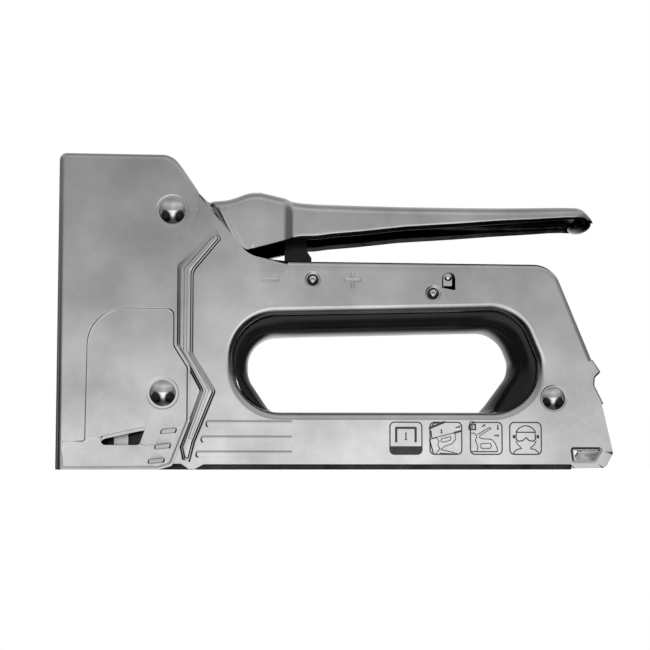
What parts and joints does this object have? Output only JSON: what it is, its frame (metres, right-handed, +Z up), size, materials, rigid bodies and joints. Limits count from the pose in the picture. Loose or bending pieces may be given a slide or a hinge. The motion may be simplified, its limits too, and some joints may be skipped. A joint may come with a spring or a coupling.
{
  "type": "hand staple gun",
  "caption": "All-steel hand staple gun with a squeeze handle, a sprung striker in the head, a lined finger opening and a pull-out magazine.",
  "frame": {"origin": "centre of the base, on the surface that the nose and the magazine's foot rest on", "axes": "+X from the nose to the tail, +Y across the body towards the right shell, +Z up towards the handle"},
  "size_m": [0.1851, 0.0318, 0.105],
  "materials": {
    "plated_steel": "bright nickel plate over satin pressed steel",
    "polished_steel": "polished",
    "hardened_steel": "oiled, dark",
    "spring_steel": "drawn wire",
    "black_plastic": "glossy black",
    "bumper_rubber": "matt"
  },
  "bodies": {
    "frame": {"left_shell": "plated_steel", "right_shell": "plated_steel", "nose_cover": "plated_steel", "nose_plate": "hardened_steel", "finger_grip": "black_plastic", "pivot_rivet": "polished_steel", "front_rivet": "polished_steel", "rear_rivet": "polished_steel", "spacer_bushes": "hardened_steel", "magazine_channel": "hardened_steel", "striker_guide": "hardened_steel", "bumper": "bumper_rubber", "spring_cap": "hardened_steel", "power_spring": "spring_steel", "lock_pin": "polished_steel", "slide_catch": "spring_steel"},
    "handle": {"handle_shell": "plated_steel", "lift_lever": "hardened_steel", "catch_tongue": "black_plastic", "lever_pin": "hardened_steel", "pivot_bush": "hardened_steel"},
    "striker": {"plunger": "hardened_steel", "driver_blade": "hardened_steel", "blade_pin": "hardened_steel"},
    "magazine": {"slide_rail": "plated_steel", "slide_end_cap": "plated_steel", "end_cap_rivet": "hardened_steel", "guide_rod": "spring_steel"},
    "pusher": {"staple_pusher": "hardened_steel", "pusher_spring": "spring_steel"},
    "lock": {"lock_latch": "polished_steel"},
    "adjuster": {"power_adjuster": "polished_steel"}
  },
  "joints": [
    {"name": "handle_squeeze", "type": "hinge", "parent": "frame", "child": "handle", "pos_m": [-0.0552, 0, 0.0856], "axis": [0, -1, 0], "range_deg": [0, 26]},
    {"name": "striker_travel", "type": "slide", "parent": "frame", "child": "striker", "axis": [0, 0, 1], "range_m": [0, 0.0125], "stiffness_N_per_m": 200, "deforming": ["power_spring"]},
    {"name": "magazine_pull", "type": "slide", "parent": "frame", "child": "magazine", "axis": [1, 0, 0], "range_m": [0, 0.105]},
    {"name": "pusher_travel", "type": "slide", "parent": "magazine", "child": "pusher", "axis": [1, 0, 0], "range_m": [0, 0.09], "stiffness_N_per_m": 20, "deforming": ["pusher_spring"]},
    {"name": "lock_turn", "type": "hinge", "parent": "frame", "child": "lock", "pos_m": [0.0319, 0, 0.0591], "axis": [0, 1, 0], "range_deg": [0, 8]},
    {"name": "power_adjust", "type": "hinge", "parent": "frame", "child": "adjuster", "pos_m": [-0.0086, 0, 0.0633], "axis": [0, 1, 0], "range_deg": [-60, 60]}
  ]
}
